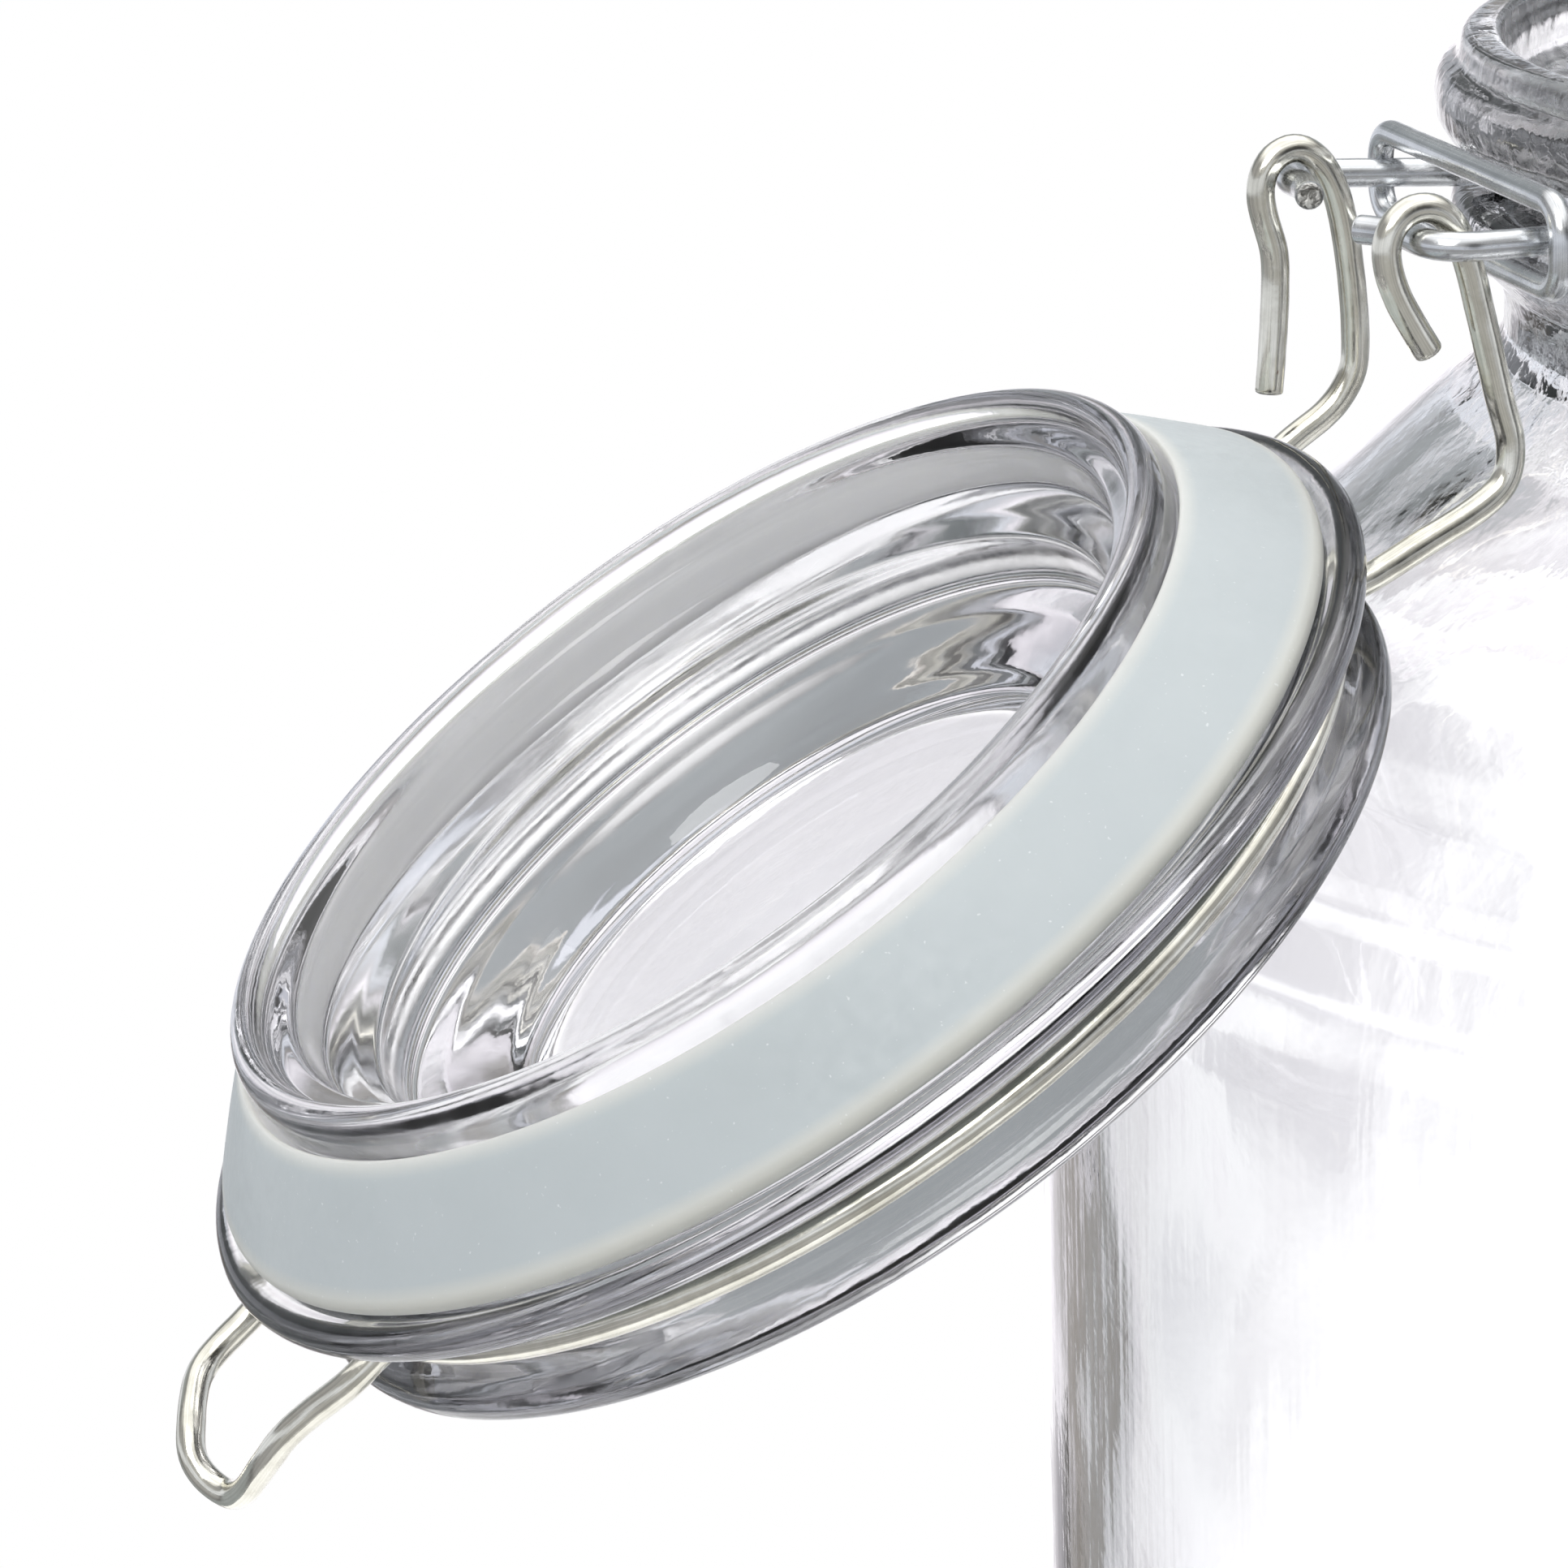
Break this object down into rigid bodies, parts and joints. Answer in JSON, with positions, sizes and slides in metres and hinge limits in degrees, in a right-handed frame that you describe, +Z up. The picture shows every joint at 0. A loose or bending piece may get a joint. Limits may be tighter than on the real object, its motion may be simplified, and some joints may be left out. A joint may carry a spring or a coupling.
{
  "type": "clip-top storage jar",
  "caption": "Glass storage jar with a wire-hinged glass lid hanging open, a silicone gasket and a wire over-centre clamp at the front.",
  "frame": {"origin": "centre of the flat base, on the jar axis", "axes": "+Z up along the jar axis, -X to the hinge, +X to the front clamp, Y across"},
  "size_m": [0.2471, 0.1684, 0.2233],
  "materials": {
    "clear_glass": "clear pressed soda-lime glass, faint ripples",
    "pale_silicone": "matte pale blue-grey silicone",
    "tinned_wire": "bright warm tinned steel wire with fine drawing marks",
    "zinc_wire": "bright cool zinc-plated steel wire with fine drawing marks"
  },
  "bodies": {
    "jar": {"jar_body": "clear_glass", "neck_wire": "zinc_wire", "hinge_keeper": "zinc_wire"},
    "lid_assembly": {"lid": "clear_glass", "gasket": "pale_silicone", "lid_bail": "tinned_wire"},
    "loop": {"clamp_loop": "tinned_wire"},
    "lever": {"clamp_lever": "tinned_wire"}
  },
  "joints": [
    {"name": "lid_hinge", "type": "hinge", "parent": "jar", "child": "lid_assembly", "pos_m": [-0.0632, 0, 0.214], "axis": [0, 1, 0], "range_deg": [0, 213.43]},
    {"name": "loop_swing", "type": "hinge", "parent": "jar", "child": "loop", "pos_m": [0.0565, 0, 0.2132], "axis": [0, -1, 0], "range_deg": [0, 145]},
    {"name": "lever_swing", "type": "hinge", "parent": "loop", "child": "lever", "pos_m": [0.07456, 0, 0.19142], "axis": [0, -1, 0], "range_deg": [0, 204]}
  ]
}
